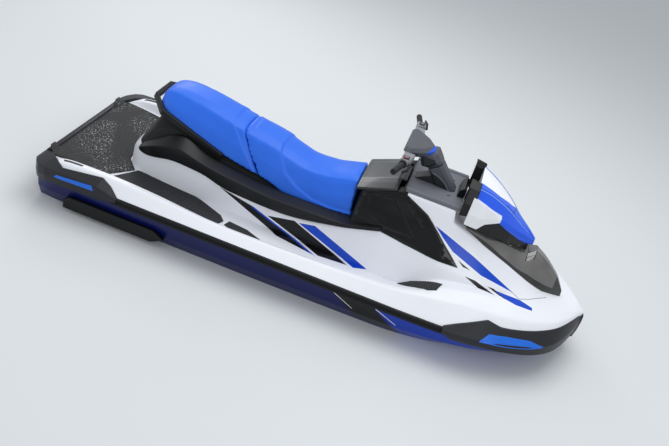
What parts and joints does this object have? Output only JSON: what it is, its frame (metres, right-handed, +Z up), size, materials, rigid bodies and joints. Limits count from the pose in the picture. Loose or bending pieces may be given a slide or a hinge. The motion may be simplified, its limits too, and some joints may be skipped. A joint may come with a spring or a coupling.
{
  "type": "personal watercraft",
  "caption": "Sit-down personal watercraft with a long two-part seat, handlebar steering, hinged bow hood with mirrors and a water-jet drive.",
  "frame": {"origin": "amidships on the waterline, on the centre plane", "axes": "+X towards the bow, +Y to port, +Z up"},
  "size_m": [3.35, 1.22, 1.187],
  "materials": {
    "hull_gelcoat": "gelcoat, gloss navy",
    "deck_gelcoat": "gelcoat, gloss white",
    "bumper": "matt charcoal moulding",
    "accent_blue": "gloss blue insert",
    "trim_black": "grained black moulding",
    "mat": "ribbed foam mat",
    "seat_vinyl": "blue marine vinyl",
    "gloss_black": "gloss black moulding",
    "cowl_blue": "gloss blue cowl",
    "cowl_white": "gloss white cowl",
    "steel": "stainless steel",
    "grip": "soft rubber",
    "lever": "black anodised",
    "mirror_glass": "mirror",
    "gauge": "dark display window",
    "cast_aluminium": "painted casting",
    "engine": "plain block"
  },
  "bodies": {
    "craft": {"bow_accents": "accent_blue", "bow_bumper": "bumper", "bow_eye": "steel", "bow_panel": "gloss_black", "console": "trim_black", "deck": "deck_gelcoat", "engine_block": "engine", "footwell_mat_left": "mat", "footwell_mat_right": "mat", "gauge": "gauge", "glove_box": "trim_black", "glove_hinge": "steel", "grab_handle": "trim_black", "hood_hinge": "steel", "hull": "hull_gelcoat", "intake_duct": "cast_aluminium", "intake_grate": "cast_aluminium", "jet_cone": "cast_aluminium", "platform_mat": "mat", "pump_housing": "cast_aluminium", "ride_plate": "cast_aluminium", "rub_rail_left": "bumper", "rub_rail_right": "bumper", "seat_front": "seat_vinyl", "seat_rear": "seat_vinyl", "side_panel_left": "gloss_black", "side_panel_right": "gloss_black", "side_trim_left": "bumper", "side_trim_right": "bumper", "sponson_left": "trim_black", "sponson_right": "trim_black", "stator": "cast_aluminium", "steering_column": "trim_black", "stern_accents": "accent_blue", "stern_bumper_left": "bumper", "stern_bumper_right": "bumper", "stern_eye_left": "steel", "stern_eye_right": "steel", "storage_bin": "trim_black"},
    "steering": {"steering_head": "trim_black", "handlebar": "steel", "grip_left": "grip", "grip_right": "grip", "control_pod_left": "trim_black", "control_pod_right": "trim_black", "lever_left": "lever", "lever_right": "lever"},
    "nozzle": {"steering_nozzle": "cast_aluminium"},
    "bucket": {"reverse_bucket": "cast_aluminium"},
    "impeller": {"impeller": "steel"},
    "hood": {"hood_nose": "cowl_blue", "hood_wing_left": "cowl_white", "hood_wing_right": "cowl_white", "hood_tray": "gloss_black", "mirror_left": "gloss_black", "mirror_right": "gloss_black", "mirror_glass": "mirror_glass"},
    "glove_lid": {"glove_lid": "trim_black"}
  },
  "joints": [
    {"name": "steering_turn", "type": "hinge", "parent": "craft", "child": "steering", "pos_m": [0.6, 0, 0.752], "axis": [-0.5878, 0, 0.809], "range_deg": [-22, 22]},
    {"name": "nozzle_turn", "type": "hinge", "parent": "craft", "child": "nozzle", "pos_m": [-1.475, 0, -0.105], "axis": [0, 0, 1], "range_deg": [-20, 20]},
    {"name": "bucket_swing", "type": "hinge", "parent": "craft", "child": "bucket", "pos_m": [-1.5, 0, -0.105], "axis": [0, -1, 0], "range_deg": [0, 85]},
    {"name": "impeller_spin", "type": "hinge", "parent": "craft", "child": "impeller", "pos_m": [-1.215, 0, -0.105], "axis": [1, 0, 0], "continuous": true},
    {"name": "hood_open", "type": "hinge", "parent": "craft", "child": "hood", "pos_m": [1.178, 0, 0.59], "axis": [0, 1, 0], "range_deg": [0, 50]},
    {"name": "glove_lid_open", "type": "hinge", "parent": "craft", "child": "glove_lid", "pos_m": [0.396, 0, 0.7352], "axis": [0, 1, 0], "range_deg": [0, 45]}
  ],
  "couplings": [
    {"joint": "nozzle_turn", "follows": "steering_turn", "ratio": -0.9}
  ]
}
